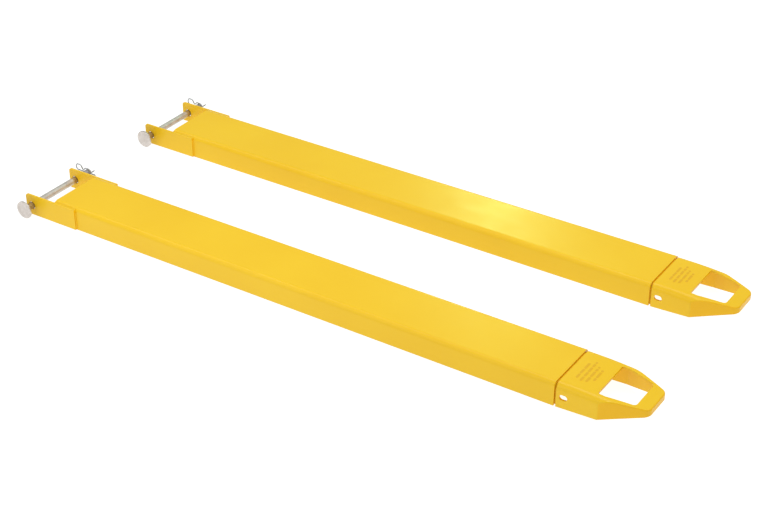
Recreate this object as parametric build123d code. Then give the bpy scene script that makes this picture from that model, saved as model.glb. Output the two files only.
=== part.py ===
from build123d import *
import math
import os

# A pair of pin-type fork extensions for a lift truck, lying side by side on the floor.
# Each is a steel channel, open below, that slides over a fork. The fork's heel stands in the
# gap behind the channel, where a locking pin passes behind it through two ears.
# +X points to the nose, +Y to the left extension and +Z up. Lengths are in millimetres.
# Every function below works in one extension's own frame: X = 0 is the channel's rear edge,
# Y = 0 its middle and Z = 0 the floor. The pin's head is on the -Y side.

# Channel, bent from plate
channel_length = 1331.0
channel_width = 146.0
channel_height = 56.5
plate = 4.8
bend_radius = 11.0

# Ears, welded outside the channel's walls
ear_rear = -88.0
ear_front = 64.7
ear_bottom = 1.0
ear_top = 53.0
ear_corner_radius = 6.0
ear_hole_radius = 9.7
ear_hole_x = -70.8
ear_hole_z = 25.6
weld_leg = 2.5
weld_face_radius = 3.5
weld_reach = 4.0
weld_rise = 1.4

# Locking pin
pin_radius = 7.95
pin_reach = 124.5
pin_chamfer = 1.5
head_radius = 21.75
head_thickness = 4.0
head_gap = 24.0
head_edge_radius = 0.8

# Hairpin clip, through the pin's free end
wire_radius = 1.5
clip_y = 117.5
clip_hole_radius = 1.8
clip_leg_end = 26.0
loop_width = 15.0
loop_rear = -35.5
loop_height = 15.5
loop_radius = 6.8
hump_height = 10.6
hump_half_width = 6.0
hump_radius = 4.5
rear_dip = (-13.5, 2.8)
front_dip = (13.0, 3.6)
dip_radius = 2.6
tail_end = (23.5, 12.0)

# Seam between channel and nose, with a backing strip inside it
seam_gap = 4.6
strip_length = 24.0
strip_lap = 5.0
strip_thickness = 3.0
strip_bottom = 2.0

# Nose
nose_bend_radius = 15.5
nose_shoulder = 1426.5
nose_tip = 1523.0
cheek_angle = 19.4
shoulder_radius = 18.0
tip_corner_radius = 16.5
tip_top = 42.4
shoulder_bottom = 4.0
tip_bottom = 28.2
tip_edge_radius = 3.0
arch_start_gap = 17.0
window_depth = 25.0

# Hand window through the top of the nose, and the oval hole across it
window_rear = 1417.5
window_front = 1494.0
window_rear_half_width = 55.0
window_front_half_width = 42.0
window_taper_start = 1434.0
window_rear_radius = 4.0
window_front_radius = 9.0
cross_hole_length = 18.5
cross_hole_height = 12.5
cross_hole_x = 1351.5
cross_hole_z = 26.5

# The pair
spacing = 437.0

# How far cutting shapes reach past what they cut
margin = 5.0
nose_depth = 40.0

# Worked out from the values above
half_width = channel_width / 2
inner_half_width = half_width - plate
ear_outer = half_width + plate
pin_x = ear_hole_x
pin_z = ear_hole_z
head_inner = -(ear_outer + head_gap)
head_outer = head_inner - head_thickness
nose_rear = channel_length + seam_gap
arch_start = nose_rear + arch_start_gap
bend_centre_z = channel_height - bend_radius
arch_drop = channel_height - tip_top
arch_radius = ((nose_tip - arch_start) ** 2 + arch_drop**2) / (2 * arch_drop)
arch_angle = math.degrees((nose_tip + 2 * margin - arch_start) / arch_radius)
cheek_slope = math.tan(math.radians(cheek_angle))
bottom_slope = (tip_bottom - shoulder_bottom) / (nose_tip - nose_shoulder)

# The part's origin is the middle of the pair's box, on the floor
rear_reach = pin_x + loop_rear - wire_radius
origin_x = (rear_reach + nose_tip) / 2
origin_y = (head_outer + pin_reach) / 2


def bent_outline(side, top, radius, bottom):
    """Face across the channel: flat sides and top, with rounded top corners."""
    with BuildSketch(Plane.YZ) as outline:
        with Locations((0, (top + bottom) / 2)):
            Rectangle(2 * side, top - bottom)
        fillet(outline.vertices().group_by(Axis.Y)[-1], radius)
    return outline.sketch


def straight_run(side, top, radius, start, end, bottom):
    """The bent outline carried straight along X."""
    return Pos(start, 0, 0) * extrude(bent_outline(side, top, radius, bottom), amount=end - start)


def plan_prism(points, corner_radii, low, high):
    """Upright prism on an outline given for +Y; the outline is mirrored about Y = 0."""
    mirrored = [(x, -y) for x, y in reversed(points)]
    with BuildSketch(Plane.XY.offset(low)) as outline:
        with BuildLine():
            Polyline(*points, *mirrored, close=True)
        make_face()
        for (x, y), radius in zip(points, corner_radii):
            if radius:
                for side in (y, -y):
                    corner = outline.vertices().sort_by_distance((x, side, 0))[0]
                    fillet(corner, radius)
    return extrude(outline.sketch, amount=high - low)


def plate_in_xz(points, inner, outer):
    """Prism on an outline in X and Z, from Y = inner to Y = outer."""
    with BuildSketch(Plane.XZ) as outline:
        with BuildLine():
            Polyline(*points, close=True)
        make_face()
    return Pos(0, outer, 0) * extrude(outline.sketch, amount=outer - inner)


def rod_y(radius, start, end, x, z):
    """Round bar along Y."""
    return Pos(x, (start + end) / 2, z) * Rot(90, 0, 0) * Cylinder(radius, end - start)


def channel():
    outer = straight_run(half_width, channel_height, bend_radius, 0, channel_length, 0)
    inner_radius = bend_radius - plate
    inner = straight_run(
        inner_half_width, channel_height - plate, inner_radius, -margin, channel_length + margin, -margin
    )
    return outer - inner


def ear(side):
    """One ear; side is -1 at the pin's head and +1 at the clip."""
    width = ear_front - ear_rear
    height = ear_top - ear_bottom
    with BuildSketch(Plane.XZ) as outline:
        with Locations((ear_rear + width / 2, ear_bottom + height / 2)):
            Rectangle(width, height)
        rear_top = outline.vertices().sort_by_distance((ear_rear, ear_top, 0))[0]
        fillet(rear_top, ear_corner_radius)
        with Locations((ear_hole_x, ear_hole_z)):
            Circle(ear_hole_radius, mode=Mode.SUBTRACT)
    middle = side * (half_width + plate / 2)
    return Pos(0, middle + plate / 2, 0) * extrude(outline.sketch, amount=plate)


def upright_bead(side):
    """Fillet weld up an ear's front end."""
    face = side * half_width
    lip = face + side * weld_leg
    low = ear_bottom + weld_leg / 2
    with BuildSketch(Plane.XY.offset(low)) as outline:
        with BuildLine():
            Line((ear_front, face), (ear_front, lip))
            RadiusArc((ear_front, lip), (ear_front + weld_leg, face), side * weld_face_radius)
            Line((ear_front + weld_leg, face), (ear_front, face))
        make_face()
    return extrude(outline.sketch, amount=bend_centre_z - low)


def top_bead(side):
    """Weld between an ear's top and the channel's bend, which falls away from it."""
    with BuildSketch(Plane.YZ) as outline:
        with BuildLine():
            Polyline(
                (side * half_width, bend_centre_z),
                (side * half_width, ear_top),
                (side * (half_width - weld_reach), ear_top + weld_rise),
                (side * (half_width - bend_radius), bend_centre_z),
                close=True,
            )
        make_face()
    body = straight_run(half_width, channel_height, bend_radius, -margin, channel_length, 0)
    return extrude(outline.sketch, amount=ear_front) - body


def ear_welds():
    return [bead(side) for side in (-1, 1) for bead in (upright_bead, top_bead)]


def joint_strip():
    """Backing strip inside the seam, tight against both plates."""
    top = channel_height - plate
    radius = nose_bend_radius - plate
    end = nose_rear + strip_lap
    start = end - strip_length
    outer = straight_run(inner_half_width, top, radius, start, end, strip_bottom)
    inside = [size - strip_thickness for size in (inner_half_width, top, radius)]
    inner = straight_run(*inside, start - margin, end + margin, -margin)
    return outer - inner


def nose_plan(start, front, inset, shoulder, corner):
    """Upright prism on the nose's plan, inset from it, with its corners rounded to two radii."""
    lean = inset / math.cos(math.radians(cheek_angle))
    side = half_width - inset
    shoulder_x = nose_shoulder - (lean - inset) / cheek_slope
    front_side = half_width - lean - (front - nose_shoulder) * cheek_slope
    points = [(start, side), (shoulder_x, side), (front, front_side)]
    return plan_prism(points, [0, shoulder, corner], -nose_depth, channel_height + margin)


def under_arch(side, top, radius):
    """Everything below the arched top ahead of its straight part."""
    section = Pos(arch_start, 0, 0) * bent_outline(side, top, radius, -nose_depth)
    pivot = Axis((arch_start, 0, channel_height - arch_radius), (0, 1, 0))
    return revolve(section, pivot, revolution_arc=arch_angle)


def bent_run(start, inset):
    """The nose's straight part and its arch, not yet cut to the plan."""
    section = (half_width - inset, channel_height - inset, nose_bend_radius - inset)
    return straight_run(*section, start, arch_start, -nose_depth) + under_arch(*section)


def above_bottom_edge():
    """Everything above the nose's rising lower edge."""
    high = channel_height + margin
    far = nose_tip + margin
    points = [
        (nose_rear, 0),
        (nose_shoulder, shoulder_bottom),
        (far, shoulder_bottom + (far - nose_shoulder) * bottom_slope),
        (far, high),
        (nose_rear, high),
    ]
    return plate_in_xz(points, -half_width - margin, half_width + margin)


def hand_window():
    points = [
        (window_rear, window_rear_half_width),
        (window_taper_start, window_rear_half_width),
        (window_front, window_front_half_width),
    ]
    radii = [window_rear_radius, 0, window_front_radius]
    return plan_prism(points, radii, channel_height - window_depth, channel_height + margin)


def cross_hole():
    """Oval hole through both walls of the nose."""
    with BuildSketch(Plane.XZ) as outline:
        with Locations((cross_hole_x, cross_hole_z)):
            SlotOverall(cross_hole_length, cross_hole_height)
    return extrude(outline.sketch, amount=channel_width, both=True)


def cut_block(start, end):
    """Block across the whole nose, from X = start to X = end."""
    length = end - start
    return Pos(start + length / 2, 0, 0) * Box(length, 2 * channel_width, 4 * channel_height)


def is_top_edge(edge):
    """True for the upper edges of the nose ahead of its shoulder."""
    box = edge.bounding_box()
    return box.min.X > nose_shoulder - 1 and box.min.Z > (tip_bottom + tip_top) / 2


def nose_outer():
    """The nose as one solid: its sharp plan first, then its rounded top edges and shoulders."""
    sharp = bent_run(nose_rear, 0) & nose_plan(nose_rear, nose_tip, 0, 0, tip_corner_radius)
    sharp = sharp & above_bottom_edge()
    eased = fillet(sharp.edges().filter_by(is_top_edge), tip_edge_radius)
    return eased & nose_plan(nose_rear, nose_tip + margin, 0, shoulder_radius, 0)


def nose():
    """Hood, cheeks and tip block, cut from one form so that their faces meet."""
    outer = nose_outer()
    tip_block = outer & cut_block(window_front, nose_tip + margin)
    inner_rear = nose_rear - margin
    inner_plan = nose_plan(inner_rear, window_front, plate, shoulder_radius - plate, 0)
    skin = outer - (bent_run(inner_rear, plate) & inner_plan) - cut_block(window_front, nose_tip + margin)
    skin = skin - hand_window()
    # The cheeks stand under the top plate, ahead of the shoulder
    under_top = under_arch(channel_width, channel_height - plate, plate)
    cheek_space = cut_block(nose_shoulder, window_front) & under_top
    return skin - cheek_space - cross_hole(), skin & cheek_space, tip_block


def locking_pin():
    shaft = rod_y(pin_radius, head_inner, pin_reach, pin_x, pin_z)
    shaft = chamfer(shaft.edges().sort_by(Axis.Y)[-1], pin_chamfer)
    clip_hole = Pos(pin_x, clip_y, pin_z) * Rot(0, 90, 0) * Cylinder(clip_hole_radius, 4 * pin_radius)
    disc = rod_y(head_radius, head_outer, head_inner, pin_x, pin_z)
    disc = fillet(disc.edges().filter_by(GeomType.CIRCLE), head_edge_radius)
    return shaft - clip_hole, disc


def hairpin_clip():
    """Straight leg through the pin, loop behind it, and a hump over the pin's outside."""
    points = [
        (clip_leg_end, 0),
        (loop_rear, 0),
        (loop_rear, loop_height),
        (loop_rear + loop_width, loop_height),
        rear_dip,
        (-hump_half_width, hump_height),
        (hump_half_width, hump_height),
        front_dip,
        tail_end,
    ]
    radii = 3 * [loop_radius] + [dip_radius, hump_radius, hump_radius, dip_radius]
    with BuildLine(Plane.XZ) as route:
        FilletPolyline(*points, radius=radii)
    start = Plane(origin=(clip_leg_end, 0, 0), z_dir=(-1, 0, 0))
    wire = sweep(start * Circle(wire_radius), path=route.wire())
    return Pos(pin_x, clip_y, pin_z) * wire


def extension():
    """Every piece of one extension, by name."""
    hood, cheeks, tip_block = nose()
    cheek_solids = cheeks.solids().sort_by(Axis.Y)
    shaft, disc = locking_pin()
    return {
        "channel": channel(),
        "head_ear": ear(-1),
        "clip_ear": ear(1),
        "ear_welds": Compound(children=ear_welds()),
        "joint_strip": joint_strip(),
        "nose_hood": hood,
        "head_side_cheek": cheek_solids[0],
        "clip_side_cheek": cheek_solids[-1],
        "tip_block": tip_block,
        "pin_shaft": shaft,
        "pin_head": disc,
        "hairpin_clip": hairpin_clip(),
    }


os.makedirs("parts", exist_ok=True)
pieces = extension()
for side_name, side_sign in (("right", -1), ("left", 1)):
    place = Pos(-origin_x, side_sign * spacing / 2 - origin_y, 0)
    for name, piece in pieces.items():
        export_step(place * piece, f"parts/{side_name}_{name}.step")
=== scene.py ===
"""A pair of pin-type fork extensions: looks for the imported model, on a white studio floor."""

import math
import random

import bmesh
import bpy
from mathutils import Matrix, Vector
from mathutils.bvhtree import BVHTree


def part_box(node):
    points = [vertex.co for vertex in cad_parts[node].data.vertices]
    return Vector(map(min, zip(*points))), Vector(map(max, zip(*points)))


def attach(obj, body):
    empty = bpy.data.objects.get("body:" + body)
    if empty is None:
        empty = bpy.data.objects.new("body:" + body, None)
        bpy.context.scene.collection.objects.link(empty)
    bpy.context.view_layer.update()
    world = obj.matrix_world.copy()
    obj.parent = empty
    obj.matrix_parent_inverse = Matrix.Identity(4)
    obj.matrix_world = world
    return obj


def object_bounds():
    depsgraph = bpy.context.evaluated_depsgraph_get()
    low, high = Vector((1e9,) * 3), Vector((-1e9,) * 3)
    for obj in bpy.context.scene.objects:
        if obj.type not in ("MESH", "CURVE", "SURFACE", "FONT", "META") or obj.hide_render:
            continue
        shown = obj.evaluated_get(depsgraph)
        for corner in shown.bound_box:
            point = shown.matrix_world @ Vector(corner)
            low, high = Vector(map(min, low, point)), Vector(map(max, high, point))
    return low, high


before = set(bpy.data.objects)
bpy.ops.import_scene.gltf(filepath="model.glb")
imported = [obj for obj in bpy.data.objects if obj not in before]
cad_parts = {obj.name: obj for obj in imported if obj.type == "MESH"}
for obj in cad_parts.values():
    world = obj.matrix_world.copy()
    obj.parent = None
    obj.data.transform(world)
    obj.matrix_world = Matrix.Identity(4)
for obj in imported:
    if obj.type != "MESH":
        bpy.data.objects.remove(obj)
cad_low, cad_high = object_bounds()
centre = (cad_low + cad_high) / 2
MM = 0.001
SIDES = ("right", "left")


# ---------------------------------------------------------------- materials
class Shader:
    """A Principled material and short helpers for wiring nodes into it."""

    def __init__(self, name, **values):
        self.material = bpy.data.materials.new(name)
        self.material.use_nodes = True
        self.nodes = self.material.node_tree.nodes
        self.links = self.material.node_tree.links
        self.surface = self.nodes["Principled BSDF"]
        for socket, value in values.items():
            self.surface.inputs[socket.replace("_", " ")].default_value = value
        self.place = self.node("ShaderNodeTexCoord").outputs["Object"]

    def node(self, kind, **properties):
        made = self.nodes.new(kind)
        for name, value in properties.items():
            setattr(made, name, value)
        return made

    def link(self, source, target):
        self.links.new(source, target)

    def stretched(self, stretch, place=None):
        """Coordinates scaled along X, Y and Z: a small scale draws a texture out along that axis."""
        mapping = self.node("ShaderNodeMapping")
        mapping.inputs["Scale"].default_value = stretch
        self.link(place or self.place, mapping.inputs["Vector"])
        return mapping.outputs["Vector"]

    def noise(self, feature, detail=2.0, place=None):
        """Noise whose blotches are about `feature` metres across."""
        made = self.node("ShaderNodeTexNoise")
        made.inputs["Scale"].default_value = 1 / feature
        made.inputs["Detail"].default_value = detail
        self.link(place or self.place, made.inputs["Vector"])
        return made.outputs["Fac"]

    def remap(self, value, low, high, to_low, to_high):
        made = self.node("ShaderNodeMapRange")
        for socket, number in zip(("From Min", "From Max", "To Min", "To Max"), (low, high, to_low, to_high)):
            made.inputs[socket].default_value = number
        self.link(value, made.inputs["Value"])
        return made.outputs["Result"]

    def blend(self, amount, first, second, mode="MIX"):
        made = self.node("ShaderNodeMix", data_type="RGBA", blend_type=mode)
        self.link(amount, made.inputs["Factor"])
        for socket, colour in (("A", first), ("B", second)):
            target = next(i for i in made.inputs if i.name == socket and i.type == "RGBA")
            if isinstance(colour, tuple):
                target.default_value = (*colour, 1)
            else:
                self.link(colour, target)
        return next(o for o in made.outputs if o.type == "RGBA")

    def multiply(self, first, second):
        made = self.node("ShaderNodeMath", operation="MULTIPLY")
        self.link(first, made.inputs[0])
        self.link(second, made.inputs[1])
        return made.outputs["Value"]

    def bump(self, height, distance, under=None):
        made = self.node("ShaderNodeBump")
        made.inputs["Distance"].default_value = distance
        self.link(height, made.inputs["Height"])
        if under:
            self.link(under, made.inputs["Normal"])
        return made.outputs["Normal"]

    def edges(self, radius):
        """1 along the object's edges and corners, 0 on its faces."""
        bevel = self.node("ShaderNodeBevel", samples=6)
        bevel.inputs["Radius"].default_value = radius
        dot = self.node("ShaderNodeVectorMath", operation="DOT_PRODUCT")
        self.link(bevel.outputs["Normal"], dot.inputs[0])
        self.link(self.node("ShaderNodeNewGeometry").outputs["Normal"], dot.inputs[1])
        return self.remap(dot.outputs["Value"], 0.98, 0.80, 0, 1)

    def facing_nose(self):
        """1 on faces turned towards +X, such as the nose's tapered sides, 0 on the others: where painted
        shade darkens the paint.
        """
        parts = self.node("ShaderNodeSeparateXYZ")
        self.link(self.node("ShaderNodeNewGeometry").outputs["Normal"], parts.inputs["Vector"])
        return self.remap(parts.outputs["X"], 0.20, 0.33, 0, 1)

    def near_pin(self, reach, fade):
        """1 within `reach` of a locking pin's axis, falling to 0 over `fade`.

        Both pins lie along Y at the same X and Z, so one axis does for both.
        """
        offset = self.node("ShaderNodeVectorMath", operation="SUBTRACT")
        offset.inputs[1].default_value = (PIN_AXIS.x, 0, PIN_AXIS.z)
        self.link(self.place, offset.inputs[0])
        length = self.node("ShaderNodeVectorMath", operation="LENGTH")
        self.link(self.stretched((1, 0, 1), offset.outputs["Vector"]), length.inputs[0])
        return self.remap(length.outputs["Value"], reach, reach + fade, 1, 0)

    def band(self, low, high, fade):
        """1 where Y is between low and high, falling to 0 over `fade` on both sides."""
        parts = self.node("ShaderNodeSeparateXYZ")
        self.link(self.place, parts.inputs["Vector"])
        rise = self.remap(parts.outputs["Y"], low - fade, low, 0, 1)
        return self.multiply(rise, self.remap(parts.outputs["Y"], high, high + fade, 1, 0))

    def finish(self, colour=None, roughness=None, normal=None):
        for socket, source in (("Base Color", colour), ("Roughness", roughness), ("Normal", normal)):
            if source:
                self.link(source, self.surface.inputs[socket])
        return self.material


def powder_coat(name, light, deep, thin, ripple=False):
    """Glossy powder coat: cloudy colour, fine grain, orange peel, a thinner coat along edges, and painted
    shade on faces turned towards +X and on the ear holes' walls.
    """
    s = Shader(name, IOR=1.45, Specular_IOR_Level=0.32, Coat_Weight=0.05, Coat_Roughness=0.2)
    cloud = s.remap(s.noise(0.22, 3), 0.3, 0.7, 0, 1)
    colour = s.blend(cloud, light, deep)
    grain = s.remap(s.noise(0.0013, 2), 0.35, 0.65, 0, 0.10)
    colour = s.blend(grain, colour, deep)
    patches = s.remap(s.noise(0.011, 3), 0.45, 0.62, 0, 0.75)
    worn = s.multiply(s.edges(0.0011), patches)
    colour = s.blend(worn, colour, thin)
    # Painted shade: faces turned towards +X get a deeper, darker yellow, as if less light reached that side.
    colour = s.blend(s.facing_nose(), colour, PAINTED_NOSEWARD_SHADE)
    # Painted shade: the walls of the ear holes round the pins are darkened, standing in for shade inside the
    # holes.
    colour = s.blend(s.near_pin(EAR_HOLE_RADIUS + 0.2 * MM, 0.6 * MM), colour, PAINTED_EAR_HOLE_SHADE)
    handled = s.noise(0.05, 4)
    roughness = s.remap(handled, 0.3, 0.7, 0.30, 0.38)
    normal = s.bump(s.noise(0.0026, 2), 0.00002)
    normal = s.bump(s.noise(0.11, 1), 0.00018, normal)
    if ripple:
        wave = s.node("ShaderNodeTexWave", bands_direction="DIAGONAL")
        wave.inputs["Scale"].default_value = 95
        wave.inputs["Distortion"].default_value = 1.8
        wave.inputs["Detail Scale"].default_value = 2.0
        s.link(s.place, wave.inputs["Vector"])
        normal = s.bump(wave.outputs["Fac"], 0.0004, normal)
    return s.finish(colour, roughness, normal)


def drawn_steel(name, pale, dark, rough, stretch, bands=()):
    """Plated bar or wire: fine lines along it, cloudy plating, and bands of other tones along Y, such as
    painted reflection and shade of the yellow ears on the pins.
    """
    s = Shader(name, Metallic=0.8)
    lines = s.noise(0.0006, 3, s.stretched(stretch))
    cloud = s.remap(s.noise(0.018, 4), 0.35, 0.65, 0, 1)
    colour = s.blend(cloud, pale, dark)
    colour = s.blend(s.remap(lines, 0.4, 0.7, 0, 0.35), colour, dark)
    for low, high, tone in bands:
        # Each band tints the steel: at the ears this is painted reflection and shade, at the free end only a
        # darker tone.
        band_tint = s.multiply(s.band(low, high, BAND_FADE), s.remap(s.noise(0.006, 3), 0.35, 0.6, 0.6, 0.9))
        colour = s.blend(band_tint, colour, tone)
    roughness = s.remap(s.noise(0.007, 4), 0.3, 0.7, rough - 0.06, rough + 0.08)
    return s.finish(colour, roughness, s.bump(lines, 0.00004))


def turned_steel(name, pale, dark, rough):
    """Plated disc with turning rings about its middle; Generated runs 0 to 1 across it."""
    s = Shader(name, Metallic=1.0)
    spread = s.node("ShaderNodeTexCoord").outputs["Generated"]
    middle = s.node("ShaderNodeVectorMath", operation="SUBTRACT")
    middle.inputs[1].default_value = (0.5, 0.5, 0.5)
    s.link(spread, middle.inputs[0])
    flat = s.stretched((1, 0, 1), middle.outputs["Vector"])
    rings = s.node("ShaderNodeTexWave", wave_type="RINGS", rings_direction="SPHERICAL")
    rings.inputs["Scale"].default_value = 14
    rings.inputs["Distortion"].default_value = 0.6
    s.link(flat, rings.inputs["Vector"])
    cloud = s.remap(s.noise(0.012, 4), 0.35, 0.65, 0, 1)
    colour = s.blend(cloud, pale, dark)
    worn = s.multiply(s.edges(0.0008), s.remap(s.noise(0.005, 2), 0.4, 0.6, 0.2, 0.8))
    colour = s.blend(worn, colour, dark)
    roughness = s.remap(s.noise(0.006, 4), 0.3, 0.7, rough - 0.05, rough + 0.08)
    return s.finish(colour, roughness, s.bump(rings.outputs["Fac"], 0.00005))


def pin_bands(side):
    """Bands along a pin as (low Y, high Y, tone): painted reflection and shade of the yellow ear at both
    ears, and a darker free end.
    """
    head_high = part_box(f"{side}_head_ear")[1]
    clip_low, clip_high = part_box(f"{side}_clip_ear")
    disc_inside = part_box(f"{side}_pin_head")[1].y
    pin_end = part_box(f"{side}_pin_shaft")[1].y
    return (
        (disc_inside, head_high.y + 4 * MM, PAINTED_EAR_REFLECTION_AND_SHADE),
        (clip_low.y - 9 * MM, clip_high.y + 1 * MM, PAINTED_EAR_REFLECTION_AND_SHADE),
        (clip_high.y + 9 * MM, pin_end, DARKER_FREE_END),
    )


PIN_AXIS = sum(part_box("right_pin_shaft"), Vector()) / 2
EAR_HOLE_RADIUS = 9.7 * MM
BAND_FADE = 5 * MM
# Darker yellow painted as shade on the ear holes' walls
PAINTED_EAR_HOLE_SHADE = (0.68, 0.40, 0.006)
# Gold-brown on the pins beside the ears: painted reflection of the yellow ears, with painted shade
PAINTED_EAR_REFLECTION_AND_SHADE = (0.40, 0.27, 0.06)
DARKER_FREE_END = (0.36, 0.33, 0.36)
YELLOW = (0.90, 0.575, 0.014)
# Deeper yellow painted as shade on faces turned towards +X
PAINTED_NOSEWARD_SHADE = (0.90, 0.505, 0.002)
DEEP_YELLOW = (0.87, 0.535, 0.010)
THIN_YELLOW = (0.72, 0.375, 0.010)
# Darker yellow painted as shade on the welds and the joint strip
SHADED_WELD_YELLOW = (0.80, 0.47, 0.010)
MARK_YELLOW = (0.80, 0.46, 0.012)
DEEP_MARK_YELLOW = (0.76, 0.42, 0.010)
paint = powder_coat("yellow_powder_coat", YELLOW, DEEP_YELLOW, THIN_YELLOW)
# Welds and the joint strip in the seam groove get a darker coat: painted shade in the groove and at the ears'
# front ends. The ripple is the welds' own.
weld_and_strip_shaded_paint = powder_coat("yellow_coat_on_weld", DEEP_YELLOW, SHADED_WELD_YELLOW, THIN_YELLOW, ripple=True)
mark_paint = powder_coat("yellow_coat_in_marks", MARK_YELLOW, DEEP_MARK_YELLOW, DEEP_MARK_YELLOW)
ZINC, DARK_ZINC = (0.66, 0.63, 0.59), (0.54, 0.51, 0.47)
DISC_ZINC, DARK_DISC_ZINC = (0.68, 0.63, 0.59), (0.59, 0.54, 0.50)
WIRE, DARK_WIRE = (0.50, 0.51, 0.51), (0.35, 0.36, 0.37)
LINES_ALONG_X, LINES_ALONG_Y = (0.05, 1, 1), (1, 0.02, 1)
pin_steels = {
    side: drawn_steel(f"{side}_zinc_bar", ZINC, DARK_ZINC, 0.56, LINES_ALONG_Y, pin_bands(side))
    for side in SIDES
}
disc_steel = turned_steel("zinc_disc_face", DISC_ZINC, DARK_DISC_ZINC, 0.46)
wire_steel = drawn_steel("spring_wire_steel", WIRE, DARK_WIRE, 0.34, LINES_ALONG_X)

NODE_MATERIALS = {
    "ear_welds": weld_and_strip_shaded_paint,
    "joint_strip": weld_and_strip_shaded_paint,
    "pin_head": disc_steel,
    "hairpin_clip": wire_steel,
}


def dress(node):
    """Give a CAD node its material. Its name is its side and then its kind."""
    side, kind = node.name.split("_", 1)
    node.data.materials.clear()
    node.data.materials.append(pin_steels[side] if kind == "pin_shaft" else NODE_MATERIALS.get(kind, paint))


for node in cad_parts.values():
    dress(node)


# ---------------------------------------------------------------- marks on the noses
FIRST_ROW = 23.4 * MM
ROW_PITCH = 11.2 * MM
ROW_ENDS = ((-34 * MM, 31 * MM), (-39 * MM, 37 * MM), (-36 * MM, 25 * MM), (-24 * MM, 18 * MM))
DASH_LENGTHS = (9 * MM, 24 * MM)
SHORTEST_DASH = 6 * MM
DASH_GAP = 1.6 * MM
DASH_WIDTH = 5.8 * MM
DASH_RISE = 0.3 * MM
DASH_SINK = 0.3 * MM
DASH_EDGE = 0.35 * MM
RAY_START = 1.0


def stadium(length, width, segments=6):
    """Outline of a bar with round ends along Y. `length` is between the ends' centres."""
    outline = []
    for end in (1, -1):
        for i in range(segments + 1):
            turn = math.pi * i / segments
            across = math.cos(turn) * width / 2
            along = length / 2 + math.sin(turn) * width / 2
            outline.append((end * across, end * along))
    return outline


def add_dash(mesh, surface, x, y, length):
    """One raised bar that follows the surface under it."""
    rings = []
    for inset, rise in ((0, -DASH_SINK), (0, DASH_RISE * 0.6), (DASH_EDGE, DASH_RISE)):
        ring = []
        for dx, dy in stadium(length, DASH_WIDTH - 2 * inset):
            hit, _, _, _ = surface.ray_cast(Vector((x + dx, y + dy, RAY_START)), Vector((0, 0, -1)))
            ring.append(mesh.verts.new((hit.x, hit.y, hit.z + rise)))
        rings.append(ring)
    count = len(rings[0])
    for low, high in zip(rings, rings[1:]):
        for i in range(count):
            j = (i + 1) % count
            mesh.faces.new((low[i], low[j], high[j], high[i]))
    mesh.faces.new(rings[-1])
    mesh.faces.new(rings[0][::-1])


def nose_marks(side):
    """Rows of unlettered dashes where the real nose carries its printed block."""
    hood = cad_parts[f"{side}_nose_hood"]
    low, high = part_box(hood.name)
    surface = BVHTree.FromObject(hood, bpy.context.evaluated_depsgraph_get())
    draw = random.Random(11)
    made = bmesh.new()
    for row, ends in enumerate(ROW_ENDS):
        x = low.x + FIRST_ROW + row * ROW_PITCH
        y, end = ((low.y + high.y) / 2 + offset for offset in ends)
        while end - y > SHORTEST_DASH:
            dash = min(draw.uniform(*DASH_LENGTHS), end - y)
            add_dash(made, surface, x, y + dash / 2, dash - DASH_WIDTH)
            y += dash + DASH_GAP
    bmesh.ops.recalc_face_normals(made, faces=made.faces)
    data = bpy.data.meshes.new(f"{side}_nose_marks")
    made.to_mesh(data)
    made.free()
    marks = bpy.data.objects.new(f"{side}_nose_marks", data)
    bpy.context.scene.collection.objects.link(marks)
    data.materials.append(mark_paint)
    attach(marks, f"{side}_extension")


for side in SIDES:
    nose_marks(side)


# ---------------------------------------------------------------- camera
AZIMUTH, ELEVATION = 33.212, 31.377
DISTANCE = 3.7345
AIM = centre + Vector((0.0523, -0.0444, 0))
LENS = 77.5

azimuth, elevation = math.radians(AZIMUTH), math.radians(ELEVATION)
back = Vector((
    math.sin(azimuth) * math.cos(elevation),
    -math.cos(azimuth) * math.cos(elevation),
    math.sin(elevation),
))
camera = bpy.data.objects.new("camera", bpy.data.cameras.new("camera"))
bpy.context.scene.collection.objects.link(camera)
camera.data.lens = LENS
camera.location = AIM + DISTANCE * back
camera.rotation_euler = (math.pi / 2 - elevation, 0, azimuth)
bpy.context.scene.camera = camera


# ---------------------------------------------------------------- floor and light
def floor_material():
    """White that glows by itself, as the background of a cut-out studio picture does."""
    s = Shader("studio_floor", Base_Color=(0.25, 0.25, 0.25, 1), Roughness=0.9, Specular_IOR_Level=0.1)
    s.surface.inputs["Emission Color"].default_value = (1, 1, 1, 1)
    s.surface.inputs["Emission Strength"].default_value = 0.92
    return s.finish(normal=s.bump(s.noise(0.004, 2), 0.00005))


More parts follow.
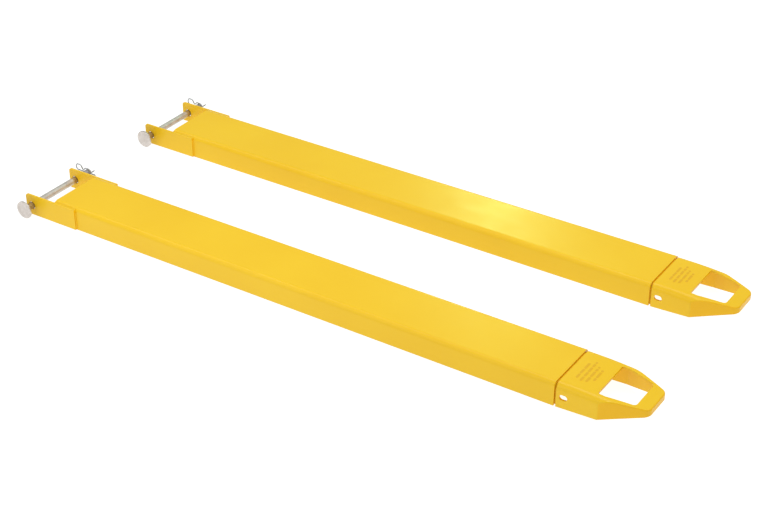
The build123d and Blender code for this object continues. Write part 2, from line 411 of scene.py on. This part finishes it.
def studio_floor():
    """A wide floor just under the part, so that the two don't share a plane."""
    size = 30.0
    drop = 0.2 * MM
    data = bpy.data.meshes.new("floor")
    corners = [(x * size, y * size, cad_low.z - drop) for x, y in ((-1, -1), (1, -1), (1, 1), (-1, 1))]
    data.from_pydata(corners, [], [(0, 1, 2, 3)])
    data.materials.append(floor_material())
    floor = bpy.data.objects.new("floor", data)
    bpy.context.scene.collection.objects.link(floor)


def softbox(name, target, direction, distance, size, power, tint=(1, 1, 1)):
    """Rectangular area light that faces the target from a direction."""
    lamp = bpy.data.lights.new(name, "AREA")
    lamp.shape = "RECTANGLE"
    lamp.size, lamp.size_y = size
    lamp.energy = power
    lamp.color = tint
    box = bpy.data.objects.new(name, lamp)
    box.location = target + Vector(direction).normalized() * distance
    box.rotation_euler = (target - box.location).to_track_quat("-Z", "Y").to_euler()
    bpy.context.scene.collection.objects.link(box)
    return lamp


studio_floor()
world = bpy.data.worlds.new("studio")
world.use_nodes = True
world.node_tree.nodes["Background"].inputs["Color"].default_value = (1, 1, 1, 1)
world.node_tree.nodes["Background"].inputs["Strength"].default_value = 0.46
bpy.context.scene.world = world
bpy.context.scene.view_settings.view_transform = "Standard"

# The overhead lamp lights the tops, the strip draws the bright line along the bends,
# and the key lights the sides that face the camera
softbox("overhead", centre, (0.28, 0.12, 1), 3.0, (1.4, 3.2), 45)
strip = softbox("strip", centre, (-1.46, -0.2, 2.65), 3.0, (0.2, 2.3), 14)
strip.diffuse_factor = 0.3
near_low, near_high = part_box("right_channel")
softbox("key", (near_low + near_high) / 2, (-0.27, -0.74, 0.5), 1.7, (1.8, 0.8), 6.7)

# A lamp behind the pair, mirrored in the left channel's top where its highlight lies
GLINT_ALONG, GLINT_ACROSS = 0.663, 0.76
channel_low, channel_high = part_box("left_channel")
glint = Vector((
    channel_low.x + GLINT_ALONG * (channel_high.x - channel_low.x),
    channel_low.y + GLINT_ACROSS * (channel_high.y - channel_low.y),
    channel_high.z,
))
to_camera = (camera.location - glint).normalized()
mirrored = Vector((-to_camera.x, -to_camera.y, to_camera.z))
glint_lamp = softbox("glint", glint, mirrored, 2.6, (0.20, 0.14), 6.3, (0.5, 1.0, 0.40))
glint_lamp.diffuse_factor = 0.2
